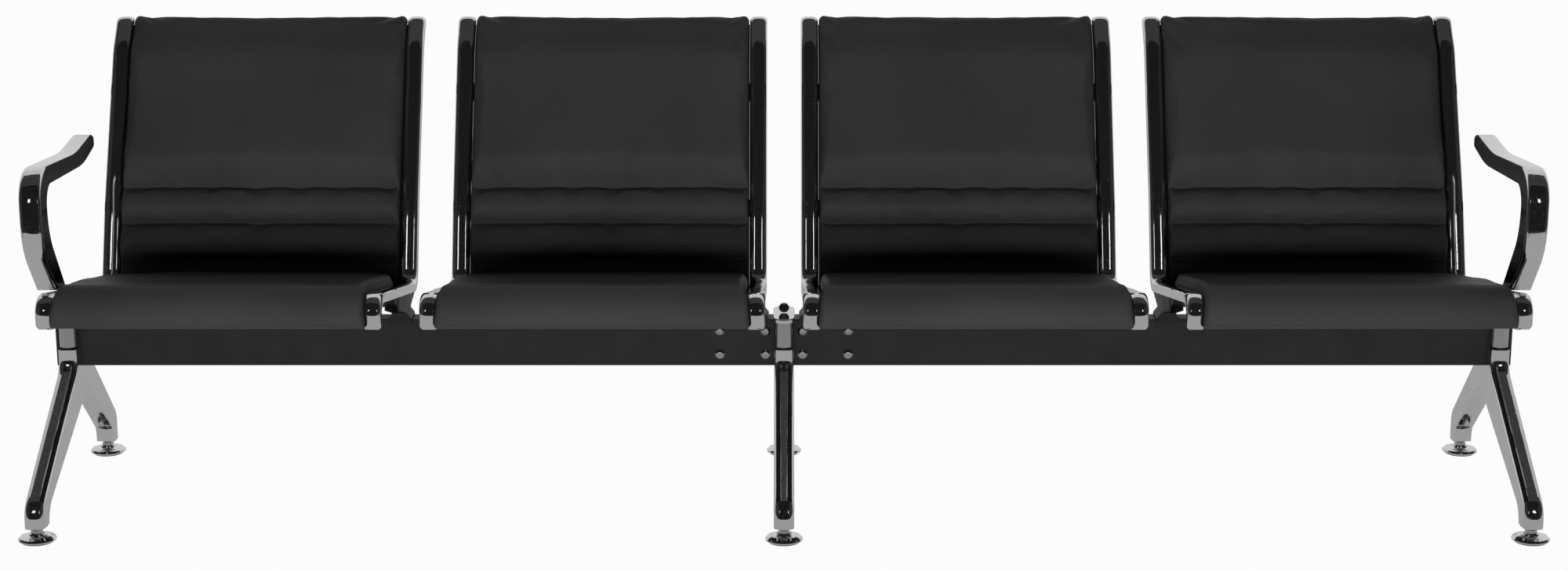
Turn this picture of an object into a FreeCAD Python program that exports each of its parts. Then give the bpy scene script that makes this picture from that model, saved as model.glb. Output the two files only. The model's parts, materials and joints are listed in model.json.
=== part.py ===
import FreeCAD, Part
import math
import os

# Four seats on one box beam with three cast legs, end arms and levelling feet.
# Millimetres, +Z up, seats face -Y. The origin is on the floor in the middle of the footprint.

# Layout
seat_count = 4
seat_pitch = 600.0
leg_count = 3
leg_pitch = 1200.0

# Beam, two box tubes butted at the middle over an inner sleeve
beam_y = 18.46
beam_depth = 40.0
beam_height = 80.0
beam_wall = 3.0
beam_corner = 2.4
beam_underside = 216.5
beam_overhang = 22.0
beam_joint_gap = 0.5
splice_length = 300.0
splice_wall = 5.0
splice_clearance = 0.3
splice_bolt_inner = 31.0
splice_bolt_outer = 108.0
splice_bolt_rows = 40.0
splice_bolt_radius = 4.0
splice_bolt_past = 2.0
splice_head_radius = 8.0
splice_head_height = 4.5
end_cap_thickness = 3.0
end_cap_plug = 12.0
end_cap_clearance = 0.2

# Legs, inverted Y castings whose two horns hold the beam between them
leg_width = 33.0
leg_gap_to_beam = 0.3
horn_offset = 35.3
horn_half_depth = 16.0
horn_top = 251.0
foot_reach_front = 300.0
foot_reach_rear = 191.0
foot_half_front = 19.0
foot_half_rear = 16.0
leg_end = 25.0
front_knee = 60.5
front_inner_knee = 45.0
rear_knee = 74.0
rear_inner_knee = 47.0
shoulder_front = 220.5
shoulder_rear = 217.0
crotch_behind_beam = 17.0
crotch_below_beam = 42.5
crotch_radius = 30.0
front_knee_radius = 45.0
front_inner_radius = 40.0
shoulder_radius = 28.0
rear_knee_radius = 38.0
rear_inner_radius = 30.0
leg_outer_rounding = 11.0
leg_inner_rounding = 4.0

# Bolt holes
bolt_clearance = 0.2

# Leg clamps, a cap over the beam pulled down by two bolts through sleeves
clamp_cap_thickness = 7.0
clamp_cap_half_length = 50.0
clamp_cap_radius = 17.8
clamp_cap_rounding = 1.5
clamp_column_radius = 14.7
clamp_column_gap = 4.0
clamp_bolt_radius = 5.0
clamp_bolt_depth = 22.0
clamp_head_radius = 8.75
clamp_head_height = 7.0

# Levelling feet
rubber_radius = 25.5
rubber_thickness = 4.0
rubber_proud = 2.5
disc_radius = 30.0
disc_rim = 2.5
disc_dome = 6.5
disc_boss_radius = 13.0
disc_boss_height = 2.5
disc_edge = 1.0
spigot_radius = 5.0
spigot_length = 7.5
hex_across = 17.0
hex_height = 6.0
stud_radius = 6.0
stud_engaged = 25.0
stud_travel_up = 4.0
running_clearance = 0.08
end_play = 0.2

# Seat frame line in side view, walked from the bend between seat and back
bend_behind_beam = 91.0
bend_above_beam = 39.0
seat_tilt = 11.0
seat_length = 437.0
tip_tilt = 13.8
tip_length = 56.6
back_lower_tilt = 20.6
back_lower_length = 136.2
back_upper_tilt = 26.4
back_upper_length = 281.5
curl_tilt = 42.0
curl_length = 67.3
roll_tilt = 116.6
roll_length = 15.7
tip_radius = 35.0
bend_radius = 25.0
back_radius = 600.0
curl_radius = 80.0
roll_radius = 18.0

# Side frames, pressed channels open to the rear
frame_spacing = 511.0
frame_width = 30.0
frame_depth = 16.0
frame_wall = 3.0
frame_rounding = 7.0
boss_half_length = 9.0

# Seat shell, one bent sheet between the side frames, on four cross rails
shell_thickness = 2.0
shell_side_gap = 0.3
shell_end_gap = 5.0
rail_breadth = 30.0
rail_thickness = 8.0
rail_end_inset = 3.0
seat_rail_front = 95.0
seat_rail_rear = 240.0
back_rail_lower = 110.0
back_rail_upper = 320.0
screw_radius = 3.0
rail_screw_grip = 8.0
screw_head_radius = 5.5
screw_head_height = 3.5
screw_socket = 4.0
pad_screw_spacing = 300.0
pad_screw_grip = 9.0

# Pads
pad_side_gap = 0.8
pad_proud = 13.0
seat_crown = 4.0
seat_pad_front = 2.0
seat_pad_rear_gap = 0.5
back_pad_reach_down = 19.0
top_proud = 4.0
top_edge_gap = 4.0
seam_depth = 9.0
roll_crown = 2.5
lower_seam = 19.0
roll_pitch = 59.0
upper_lead = 18.0
rear_corner = 60.0
seat_nose = 14.0
seat_rear_slope = 24.0

# Crosswise sections of a pad from its side inwards, each (inset, share of the full height,
# share of the rear corner, lift of the underside)
pad_sections = [
    (0.0, 0.50, 1.0, 3.0),
    (3.0, 0.80, 0.55, 0.0),
    (12.0, 0.97, 0.20, 0.0),
    (80.0, 1.03, 0.0, 0.0),
]

# Brackets between the side frames and the beam
bracket_web = 3.0
bracket_reach_front = 189.0
bracket_reach_back = 22.0
bracket_sink = 4.0
bracket_front_drop = 20.0
bracket_foot_height = 12.0
bracket_foot_width = 38.0
bracket_foot_top = 24.0
bracket_foot_edge = 3.0
bracket_lip = 4.0
bracket_lip_drop = 6.0
bracket_rear_reach = 86.0
bracket_rear_height = 24.5
bracket_slot_width = 4.0
bracket_slot_height = 14.0
bracket_slot_ahead = 54.0
bracket_slot_above = 17.0
bracket_bolt_offset = 13.0
bracket_bolt_radius = 4.0
bracket_head_radius = 7.4
bracket_head_height = 9.0
bracket_bolt_below = 12.0

# Arms, one at each end of the row
arm_inset = 23.6
arm_width = 35.0
arm_rounding = 6.0
arm_foot_ahead = 228.0
arm_foot_length = 62.0
arm_foot_thickness = 7.0
arm_bulge = 302.0
arm_knee_above_beam = 181.5
arm_knee_radius = 110.0
arm_top_above_beam = 310.5
arm_top_radius = 52.0
arm_dip_above_beam = 290.5
arm_dip_ahead = 49.0
arm_dip_radius = 260.0
arm_end_above_beam = 302.5
arm_end_behind = 64.0
arm_end_thickness = 24.0
arm_end_radius = 9.0
arm_post_depth = 45.0
arm_inner_knee_above_beam = 201.5
arm_inner_knee_radius = 110.0
arm_under_above_beam = 275.5
arm_under_radius = 30.0
arm_under_dip_above_beam = 262.5
arm_under_dip_ahead = 14.0
arm_under_dip_radius = 220.0
arm_screw_spacing = 36.0
arm_screw_grip = 4.5

# Derived places
beam_top = beam_underside + beam_height
beam_front = beam_y - beam_depth / 2
beam_back = beam_y + beam_depth / 2
beam_end = leg_pitch * (leg_count - 1) / 2 + beam_overhang
frame_half = frame_width / 2
channel_half = frame_half - frame_wall
shell_half = frame_spacing / 2 - frame_half - shell_side_gap
shell_top = -(frame_depth - shell_thickness)
shell_bottom = -frame_depth
rail_bottom = shell_bottom - rail_thickness
column_bottom = horn_top + clamp_column_gap
row_end = seat_pitch * (seat_count - 1) / 2 + frame_spacing / 2
arm_x = row_end + arm_inset
disc_bottom = rubber_proud
disc_boss_top = disc_bottom + disc_rim + disc_dome + disc_boss_height
hex_bottom = disc_boss_top + end_play


def vec(x, y, z):
    return FreeCAD.Vector(x, y, z)


def leg_centres():
    return [leg_pitch * (i - (leg_count - 1) / 2) for i in range(leg_count)]


def seat_centres():
    return [seat_pitch * (i - (seat_count - 1) / 2) for i in range(seat_count)]


def frame_centres():
    half = frame_spacing / 2
    return [x + side * half for x in seat_centres() for side in (-1, 1)]


def box(x0, x1, y0, y1, z0, z1):
    return Part.makeBox(x1 - x0, y1 - y0, z1 - z0, vec(x0, y0, z0))


def rod(radius, start, end):
    return Part.makeCylinder(radius, (end - start).Length, start, end - start)


def group(shapes):
    return Part.makeCompound(shapes)


# A line in side view is walked through its corners, each (y, z, radius), as straight
# runs joined by tangent arcs. A span is (kind, start, heading, length, radius, side).
def step(point, tilt, length):
    angle = math.radians(tilt)
    return (point[0] + length * math.sin(angle), point[1] + length * math.cos(angle))


def heading(a, b):
    return math.atan2(b[1] - a[1], b[0] - a[0])


def move(point, angle, length):
    return (point[0] + length * math.cos(angle), point[1] + length * math.sin(angle))


def spans_of(corners):
    spans = []
    here = corners[0][:2]
    for i in range(1, len(corners)):
        corner = corners[i][:2]
        along = heading(here, corner)
        reach = math.dist(here, corner)
        if i == len(corners) - 1:
            spans.append(("line", here, along, reach, 0.0, 0))
            break
        turn = heading(corner, corners[i + 1][:2]) - along
        turn = math.atan2(math.sin(turn), math.cos(turn))
        radius = corners[i][2]
        tangent = radius * math.tan(abs(turn) / 2)
        side = 1 if turn > 0 else -1
        spans.append(("line", here, along, reach - tangent, 0.0, 0))
        start = move(corner, along, -tangent)
        spans.append(("arc", start, along, radius * abs(turn), radius, side))
        here = move(corner, along + turn, tangent)
    return spans


def place_on(span, s, h):
    kind, start, along, _, radius, side = span
    left = along + math.pi / 2
    if kind == "line":
        return move(move(start, along, s), left, h)
    centre = move(start, left, side * radius)
    angle = along - side * math.pi / 2 + side * s / radius
    return move(centre, angle, radius - side * h)


def total(spans):
    return sum(span[3] for span in spans)


def point_at(spans, s, h):
    for span in spans:
        if s <= span[3]:
            return place_on(span, s, h)
        s -= span[3]
    return place_on(spans[-1], spans[-1][3] + s, h)


def on_plane(x, point):
    return vec(x, point[0], point[1])


def line(x, a, b):
    return Part.LineSegment(on_plane(x, a), on_plane(x, b)).toShape()


def arc(x, a, b, c):
    return Part.Arc(on_plane(x, a), on_plane(x, b), on_plane(x, c)).toShape()


# The edges of the parallel line at height h between two stations of a walked line
def parallel(x, spans, s0, s1, h):
    edges = []
    begin = 0.0
    for span in spans:
        a = max(s0, begin) - begin
        b = min(s1, begin + span[3]) - begin
        begin += span[3]
        if b - a < 1e-6:
            continue
        ends = (place_on(span, a, h), place_on(span, b, h))
        if span[0] == "line":
            edges.append(line(x, *ends))
        else:
            edges.append(arc(x, ends[0], place_on(span, (a + b) / 2, h), ends[1]))
    return edges


def band(x, width, spans, s0, s1, high, low):
    edges = parallel(x, spans, s0, s1, high)
    edges.append(line(x, point_at(spans, s1, high), point_at(spans, s1, low)))
    edges += parallel(x, spans, s0, s1, low)
    edges.append(line(x, point_at(spans, s0, low), point_at(spans, s0, high)))
    wire = Part.Wire(Part.__sortEdges__(edges))
    return Part.Face(wire).extrude(vec(width, 0, 0))


# A closed outline through corners, each (y, z, radius), as a prism along X
def outline_prism(x, width, corners):
    count = len(corners)
    edges = []
    cuts = []
    for i in range(count):
        before = corners[i - 1][:2]
        corner = corners[i][:2]
        after = corners[(i + 1) % count][:2]
        into = heading(before, corner)
        turn = heading(corner, after) - into
        turn = math.atan2(math.sin(turn), math.cos(turn))
        tangent = corners[i][2] * math.tan(abs(turn) / 2)
        start = move(corner, into, -tangent)
        end = move(corner, into + turn, tangent)
        cuts.append((start, end))
        if corners[i][2] > 0:
            side = 1 if turn > 0 else -1
            span = ("arc", start, into, corners[i][2] * abs(turn), corners[i][2], side)
            edges.append(arc(x, start, place_on(span, span[3] / 2, 0.0), end))
    for i in range(count):
        edges.append(line(x, cuts[i][1], cuts[(i + 1) % count][0]))
    wire = Part.Wire(Part.__sortEdges__(edges))
    return Part.Face(wire).extrude(vec(width, 0, 0))


def hexagon(across, start, axis, height):
    circle = across / math.sqrt(3)
    helper = vec(0, 0, 1) if abs(axis.z) < 0.9 else vec(1, 0, 0)
    u = axis.cross(helper).normalize()
    v = axis.cross(u).normalize()
    points = []
    for k in range(7):
        angle = math.radians(60 * k)
        points.append(start + u * (circle * math.cos(angle)) + v * (circle * math.sin(angle)))
    return Part.Face(Part.makePolygon(points)).extrude(axis * height)


# A button head with a hex socket on a plain shank. The head sits at start, the shank runs
# back against the axis.
def button_bolt(start, axis, head_radius, head_height, shank_radius, shank_length):
    axis = vec(axis.x, axis.y, axis.z).normalize()
    low = head_height * 0.3
    head = Part.makeCylinder(head_radius, low, start, axis)
    dome = Part.makeCone(head_radius, head_radius * 0.6, head_height - low, start + axis * low, axis)
    shank = Part.makeCylinder(shank_radius, shank_length, start - axis * shank_length, axis)
    socket = hexagon(head_radius * 0.62, start + axis * (head_height * 0.45), axis, head_height)
    return head.fuse([dome, shank]).removeSplitter().cut(socket)


# A flat head with a hex socket on a plain shank, placed the same way
def pan_screw(start, axis, grip):
    head = Part.makeCylinder(screw_head_radius, screw_head_height, start, axis)
    shank = Part.makeCylinder(screw_radius, grip, start - axis * grip, axis)
    socket = hexagon(screw_socket, start + axis * (screw_head_height * 0.4), axis, screw_head_height)
    return head.fuse(shank).cut(socket)


# The seat line: tip, seat, bend, back and the roll at the top
def seat_corners():
    bend = (beam_y + bend_behind_beam, beam_top + bend_above_beam)
    front = step(bend, seat_tilt - 90.0, seat_length)
    tip = step(front, 180.0 + tip_tilt, tip_length)
    back = step(bend, back_lower_tilt, back_lower_length)
    curl = step(back, back_upper_tilt, back_upper_length)
    roll = step(curl, curl_tilt, curl_length)
    end = step(roll, roll_tilt, roll_length)
    return [
        (*tip, 0.0),
        (*front, tip_radius),
        (*bend, bend_radius),
        (*back, back_radius),
        (*curl, curl_radius),
        (*roll, roll_radius),
        (*end, 0.0),
    ]


LEG_NAMES = ("left", "middle", "right")
SPANS = spans_of(seat_corners())
LENGTH = total(SPANS)
SEAT_START = SPANS[0][3] + SPANS[1][3]
SEAT_END = SEAT_START + SPANS[2][3]
BACK_START = SEAT_END + SPANS[3][3]
CURL_START = BACK_START + sum(span[3] for span in SPANS[4:7])


def rail_stations():
    return [
        seat_rail_front,
        seat_rail_rear,
        BACK_START + back_rail_lower,
        BACK_START + back_rail_upper,
    ]


def normal_at(s):
    low = point_at(SPANS, s, 0.0)
    high = point_at(SPANS, s, 1.0)
    return vec(0, high[0] - low[0], high[1] - low[1])


def rod_on_line(x, s, low, high, radius):
    return rod(radius, on_plane(x, point_at(SPANS, s, low)), on_plane(x, point_at(SPANS, s, high)))


# Beam, sleeve, end caps and their bolts
def bracket_bolt_holes():
    radius = bracket_bolt_radius + bolt_clearance
    holes = []
    for x in frame_centres():
        for side in (-1, 1):
            y = beam_y + side * bracket_bolt_offset
            holes.append(rod(radius, vec(x, y, beam_top - bracket_bolt_below - 2), vec(x, y, beam_top + 1)))
    return holes


def splice_bolt_places():
    mid = beam_underside + beam_height / 2
    columns = (-splice_bolt_outer, -splice_bolt_inner, splice_bolt_inner, splice_bolt_outer)
    rows = (mid - splice_bolt_rows / 2, mid + splice_bolt_rows / 2)
    return [(x, z) for x in columns for z in rows]


def splice_bolt_length():
    return beam_wall + splice_clearance + splice_wall + splice_bolt_past


def splice_bolt_holes():
    radius = splice_bolt_radius + bolt_clearance
    depth = splice_bolt_length() + 1.0
    return [
        rod(radius, vec(x, beam_front - 1, z), vec(x, beam_front + depth, z))
        for x, z in splice_bolt_places()
    ]


def beam_half(side):
    x0, x1 = sorted((side * beam_joint_gap / 2, side * beam_end))
    tube = box(x0, x1, beam_front, beam_back, beam_underside, beam_top)
    inner = box(
        x0 - 1,
        x1 + 1,
        beam_front + beam_wall,
        beam_back - beam_wall,
        beam_underside + beam_wall,
        beam_top - beam_wall,
    )
    along = [e for e in tube.Edges if abs(e.BoundBox.XLength - (x1 - x0)) < 0.01]
    tube = tube.makeFillet(beam_corner, along)
    return tube.cut([inner] + bracket_bolt_holes() + splice_bolt_holes())


def beam_splice():
    gap = beam_wall + splice_clearance
    half = splice_length / 2
    wall = gap + splice_wall
    outer = box(-half, half, beam_front + gap, beam_back - gap, beam_underside + gap, beam_top - gap)
    inner = box(
        -half - 1,
        half + 1,
        beam_front + wall,
        beam_back - wall,
        beam_underside + wall,
        beam_top - wall,
    )
    return outer.cut([inner] + bracket_bolt_holes() + splice_bolt_holes())


def splice_bolts():
    bolts = []
    for x, z in splice_bolt_places():
        bolts.append(
            button_bolt(
                vec(x, beam_front, z),
                vec(0, -1, 0),
                splice_head_radius,
                splice_head_height,
                splice_bolt_radius,
                splice_bolt_length(),
            )
        )
    return group(bolts)


def beam_end_caps():
    caps = []
    inset = beam_wall + end_cap_clearance
    for side in (-1, 1):
        x0, x1 = sorted((side * beam_end, side * (beam_end + end_cap_thickness)))
        p0, p1 = sorted((side * (beam_end - end_cap_plug), side * beam_end))
        plate = box(x0, x1, beam_front, beam_back, beam_underside, beam_top)
        edges = [e for e in plate.Edges if abs(e.BoundBox.XLength - end_cap_thickness) < 0.01]
        plate = plate.makeFillet(beam_corner, edges)
        plug = box(
            p0,
            p1,
            beam_front + inset,
            beam_back - inset,
            beam_underside + inset,
            beam_top - inset,
        )
        caps.append(plate.fuse(plug).removeSplitter())
    return group(caps)


# Legs
def foot_places():
    front = beam_y - foot_reach_front
    rear = beam_y + foot_reach_rear
    places = []
    for x_name, x in zip(LEG_NAMES, leg_centres()):
        for y_name, y in (("front", front), ("rear", rear)):
            places.append((x, y, x_name + "_" + y_name))
    return places


def leg_corners():
    front = beam_y - foot_reach_front
    rear = beam_y + foot_reach_rear
    horn_front = beam_y - horn_offset
    horn_rear = beam_y + horn_offset
    pocket_front = beam_front - leg_gap_to_beam
    pocket_rear = beam_back + leg_gap_to_beam
    crotch_z = beam_underside - crotch_below_beam
    return [
        (front - foot_half_front, leg_end, 0.0),
        (front - foot_half_front, front_knee, front_knee_radius),
        (horn_front - horn_half_depth, shoulder_front, shoulder_radius),
        (horn_front - horn_half_depth, horn_top, 0.0),
        (pocket_front, horn_top, 0.0),
        (pocket_front, beam_underside, 0.0),
        (pocket_rear, beam_underside, 0.0),
        (pocket_rear, horn_top, 0.0),
        (horn_rear + horn_half_depth, horn_top, 0.0),
        (horn_rear + horn_half_depth, shoulder_rear, shoulder_radius),
        (rear + foot_half_rear, rear_knee, rear_knee_radius),
        (rear + foot_half_rear, leg_end, 0.0),
        (rear - foot_half_rear, leg_end, 0.0),
        (rear - foot_half_rear, rear_inner_knee, rear_inner_radius),
        (beam_y + crotch_behind_beam, crotch_z, crotch_radius),
        (front + foot_half_front, front_inner_knee, front_inner_radius),
        (front + foot_half_front, leg_end, 0.0),
    ]


def leg_edges(body, x):
    outer = []
    inner = []
    corners = leg_corners()
    crotch_line = [corners[12], corners[13], corners[14], corners[15], corners[16]]
    spans = spans_of([crotch_line[0]] + crotch_line[1:4] + [crotch_line[4]])
    under = Part.Wire(parallel(x, spans, 0.0, total(spans), 0.0))
    for edge in body.Edges:
        if edge.BoundBox.XLength > 0.01:
            continue
        middle = edge.valueAt((edge.FirstParameter + edge.LastParameter) / 2)
        if middle.z < leg_end + 0.01 or middle.z > horn_top - 0.01:
            continue
        in_pocket = beam_front - 1 < middle.y < beam_back + 1 and middle.z > beam_underside - 1
        if in_pocket:
            continue
        flat = Part.Vertex(vec(x, middle.y, middle.z))
        if flat.distToShape(under)[0] < 0.01:
            inner.append(edge)
        else:
            outer.append(edge)
    return outer, inner


def leg(x):
    body = outline_prism(x - leg_width / 2, leg_width, leg_corners())
    outer, inner = leg_edges(body, x)
    body = body.makeFillet(leg_outer_rounding, outer)
    outer, inner = leg_edges(body, x)
    body = body.makeFillet(leg_inner_rounding, inner)
    cuts = []
    bore = stud_radius + running_clearance
    for y in (beam_y - foot_reach_front, beam_y + foot_reach_rear):
        top = leg_end + stud_engaged + stud_travel_up + 1.0
        cuts.append(rod(bore, vec(x, y, leg_end - 1), vec(x, y, top)))
    for side in (-1, 1):
        y = beam_y + side * horn_offset
        radius = clamp_bolt_radius + bolt_clearance
        cuts.append(rod(radius, vec(x, y, horn_top - clamp_bolt_depth - 2), vec(x, y, horn_top + 1)))
    return body.cut(cuts)


def clamp_caps():
    caps = []
    reach = clamp_cap_half_length - clamp_cap_radius
    for x in leg_centres():
        cap = box(
            x - clamp_cap_radius,
            x + clamp_cap_radius,
            beam_y - reach,
            beam_y + reach,
            beam_top,
            beam_top + clamp_cap_thickness,
        )
        for side in (-1, 1):
            centre = vec(x, beam_y + side * reach, beam_top)
            cap = cap.fuse(Part.makeCylinder(clamp_cap_radius, clamp_cap_thickness, centre))
        cap = cap.removeSplitter()
        rim = [e for e in cap.Edges if e.BoundBox.ZMin > beam_top + clamp_cap_thickness - 0.01]
        cap = cap.makeFillet(clamp_cap_rounding, rim)
        holes = [
            rod(
                clamp_bolt_radius + bolt_clearance,
                vec(x, beam_y + side * horn_offset, beam_top - 1),
                vec(x, beam_y + side * horn_offset, beam_top + clamp_cap_thickness + 1),
            )
            for side in (-1, 1)
        ]
        caps.append(cap.cut(holes))
    return group(caps)


def clamp_columns():
    columns = []
    for x in leg_centres():
        for side in (-1, 1):
            foot = vec(x, beam_y + side * horn_offset, column_bottom)
            height = beam_top - column_bottom
            outer = Part.makeCylinder(clamp_column_radius, height, foot)
            inner = Part.makeCylinder(clamp_bolt_radius + bolt_clearance, height, foot)
            columns.append(outer.cut(inner))
    return group(columns)


def clamp_bolts():
    bolts = []
    seat = beam_top + clamp_cap_thickness
    length = seat - horn_top + clamp_bolt_depth
    for x in leg_centres():
        for side in (-1, 1):
            start = vec(x, beam_y + side * horn_offset, seat)
            bolts.append(
                button_bolt(
                    start,
                    vec(0, 0, 1),
                    clamp_head_radius,
                    clamp_head_height,
                    clamp_bolt_radius,
                    length,
                )
            )
    return group(bolts)


# Levelling feet, each a rubber pad, a domed disc and a stud that turns in both
def turned(x, y, points):
    wire = Part.makePolygon([vec(x + r, y, z) for r, z in points])
    return Part.Face(wire).revolve(vec(x, y, 0), vec(0, 0, 1), 360)


def foot_rubber(x, y):
    return Part.makeCylinder(rubber_radius, rubber_thickness, vec(x, y, 0))


def foot_disc(x, y):
    rim_top = disc_bottom + disc_rim
    dome_top = rim_top + disc_dome
    seat_z = rubber_thickness
    bore = spigot_radius + running_clearance
    bore_floor = disc_boss_top - spigot_length - end_play
    pad = rubber_radius + running_clearance
    spread = disc_radius - disc_boss_radius
    dome = []
    for k in range(4):
        turn = math.radians(90 * k / 3)
        dome.append((disc_boss_radius + spread * math.cos(turn), rim_top + disc_dome * math.sin(turn)))
    points = [
        (0, seat_z),
        (pad, seat_z),
        (pad, disc_bottom),
        (disc_radius - disc_edge, disc_bottom),
        (disc_radius, disc_bottom + disc_edge),
        *dome,
        (disc_boss_radius - disc_edge, disc_boss_top),
        (bore, disc_boss_top),
        (bore, bore_floor),
        (0, bore_floor),
        (0, seat_z),
    ]
    return turned(x, y, points)


def foot_stud(x, y):
    spigot = Part.makeCylinder(spigot_radius, spigot_length + end_play, vec(x, y, hex_bottom - spigot_length))
    nut = hexagon(hex_across, vec(x, y, hex_bottom), vec(0, 0, 1), hex_height)
    base = hex_bottom + hex_height
    stud = Part.makeCylinder(stud_radius, leg_end + stud_engaged - base, vec(x, y, base))
    return spigot.fuse([nut, stud]).removeSplitter()


# Side frames
def side_frame(x):
    outer = band(x - frame_half, frame_width, SPANS, 0.0, LENGTH, 0.0, -frame_depth)
    face_line = Part.Wire(parallel(x, SPANS, 0.0, LENGTH, 0.0))
    tip = Part.Vertex(on_plane(x, SPANS[0][1]))
    rim = []
    for edge in outer.Edges:
        middle = edge.valueAt((edge.FirstParameter + edge.LastParameter) / 2)
        spot = Part.Vertex(vec(x, middle.y, middle.z))
        lengthwise = edge.BoundBox.XLength < 0.01
        if lengthwise and spot.distToShape(face_line)[0] < 0.01:
            rim.append(edge)
        if not lengthwise and spot.distToShape(tip)[0] < 0.01:
            rim.append(edge)
    outer = outer.makeFillet(frame_rounding, rim)
    hollow = band(
        x - channel_half,
        2 * channel_half,
        SPANS,
        frame_wall,
        LENGTH - frame_wall,
        -frame_wall,
        -frame_depth - 1,
    )
    body = outer.cut(hollow)
    bosses = []
    holes = []
    for s in rail_stations():
        bosses.append(
            band(
                x - channel_half,
                2 * channel_half,
                SPANS,
                s - boss_half_length,
                s + boss_half_length,
                -frame_wall,
                -frame_depth,
            )
        )
        radius = screw_radius + bolt_clearance
        holes.append(rod_on_line(x, s, -frame_depth - 1, -frame_depth + rail_screw_grip + 1, radius))
    body = body.fuse(bosses).removeSplitter()
    return body.cut(holes + arm_holes(x))


# Seat shell and its cross rails
def pad_screw_places(x):
    half = pad_screw_spacing / 2
    return [(x + side * half, s) for s in rail_stations() for side in (-1, 1)]


def rail_screw_places(x):
    half = frame_spacing / 2
    return [(x + side * half, s) for s in rail_stations() for side in (-1, 1)]


def shell(x):
    sheet = band(
        x - shell_half,
        2 * shell_half,
        SPANS,
        shell_end_gap,
        LENGTH - shell_end_gap,
        shell_top,
        shell_bottom,
    )
    radius = screw_radius + bolt_clearance
    holes = [rod_on_line(px, s, shell_bottom - 1, shell_top + 1, radius) for px, s in pad_screw_places(x)]
    return sheet.cut(holes)


def cross_rails(x):
    rails = []
    half = frame_spacing / 2 + frame_half - rail_end_inset
    radius = screw_radius + bolt_clearance
    holes = [
        rod_on_line(px, s, rail_bottom - 1, shell_bottom + 1, radius)
        for px, s in pad_screw_places(x) + rail_screw_places(x)
    ]
    for s in rail_stations():
        rail = band(
            x - half,
            2 * half,
            SPANS,
            s - rail_breadth / 2,
            s + rail_breadth / 2,
            shell_bottom,
            rail_bottom,
        )
        rails.append(rail.cut(holes))
    return group(rails)


def screws(places, grip):
    result = []
    for x, s in places:
        start = on_plane(x, point_at(SPANS, s, rail_bottom))
        result.append(pan_screw(start, normal_at(s) * -1, grip))
    return result


def frame_screws():
    places = [place for x in seat_centres() for place in rail_screw_places(x)]
    return group(screws(places, rail_thickness + rail_screw_grip))


def pad_screws():
    places = [place for x in seat_centres() for place in pad_screw_places(x)]
    return group(screws(places, rail_thickness + shell_thickness + pad_screw_grip))


# Pads. A profile in side view is given by its top line, a list of (station, height, height
# midway to the next), and a crosswise loft gives the crown and the drawn-in sides.
def pad_wire(x, top, share, floor):
    edges = parallel(x, SPANS, top[0][0], top[-1][0], floor)
    first = point_at(SPANS, top[0][0], floor)
    last = point_at(SPANS, top[-1][0], floor)

    def high(s, h):
        return point_at(SPANS, s, floor + (h - floor) * share)

    edges.append(line(x, last, high(top[-1][0], top[-1][1])))
    chain = []
    for (s0, h0, mid), (s1, h1, _) in zip(top, top[1:]):
        chain.append(arc(x, high(s0, h0), high((s0 + s1) / 2, mid), high(s1, h1)))
    edges += chain[::-1]
    edges.append(line(x, high(top[0][0], top[0][1]), first))
    return Part.Wire(Part.__sortEdges__(edges))


def seat_top(corner):
    end = SEAT_END - seat_pad_rear_gap - corner
    crown = pad_proud + seat_crown
    return [
        (seat_pad_front, 0.0, 9.0),
        (seat_pad_front + seat_nose, pad_proud - 1.0, pad_proud - 0.4),
        (SPANS[0][3], pad_proud, pad_proud + 0.6),
        (SEAT_START, pad_proud, crown),
        (end - seat_rear_slope, pad_proud - 0.5, 9.5),
        (end, -2.0, 0.0),
    ]


def back_top():
    seam = pad_proud - seam_depth
    roll = pad_proud + roll_crown
    first = BACK_START + lower_seam
    roll_start = LENGTH - SPANS[9][3] - SPANS[10][3]
    return [
        (BACK_START - back_pad_reach_down, 0.0, pad_proud - 5.0),
        (first, seam, roll),
        (first + roll_pitch, seam, roll),
        (first + 2 * roll_pitch, seam, pad_proud - 1.5),
        (first + 2 * roll_pitch + upper_lead, pad_proud, pad_proud + roll_crown),
        (CURL_START, pad_proud, pad_proud - 0.5),
        (CURL_START + SPANS[7][3], pad_proud - 2.0, pad_proud - 5.0),
        (roll_start, top_proud, top_proud - 0.5),
        (LENGTH - top_edge_gap, 0.0, 0.0),
    ]


def pad(x, top_of, screw_stations):
    half = shell_half + shell_side_gap - pad_side_gap
    wires = []
    for side in (-1, 1):
        for inset, share, corner, lift in pad_sections[::-side]:
            top = top_of(corner * rear_corner)
            wires.append(pad_wire(x + side * (half - inset), top, share, shell_top + lift))
    body = Part.makeLoft(wires, True, True)
    radius = screw_radius + bolt_clearance
    holes = [
        rod_on_line(px, s, shell_top - 1, shell_top + pad_screw_grip + 1, radius)
        for px, s in pad_screw_places(x)
        if s in screw_stations
    ]
    return body.cut(holes)


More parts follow.
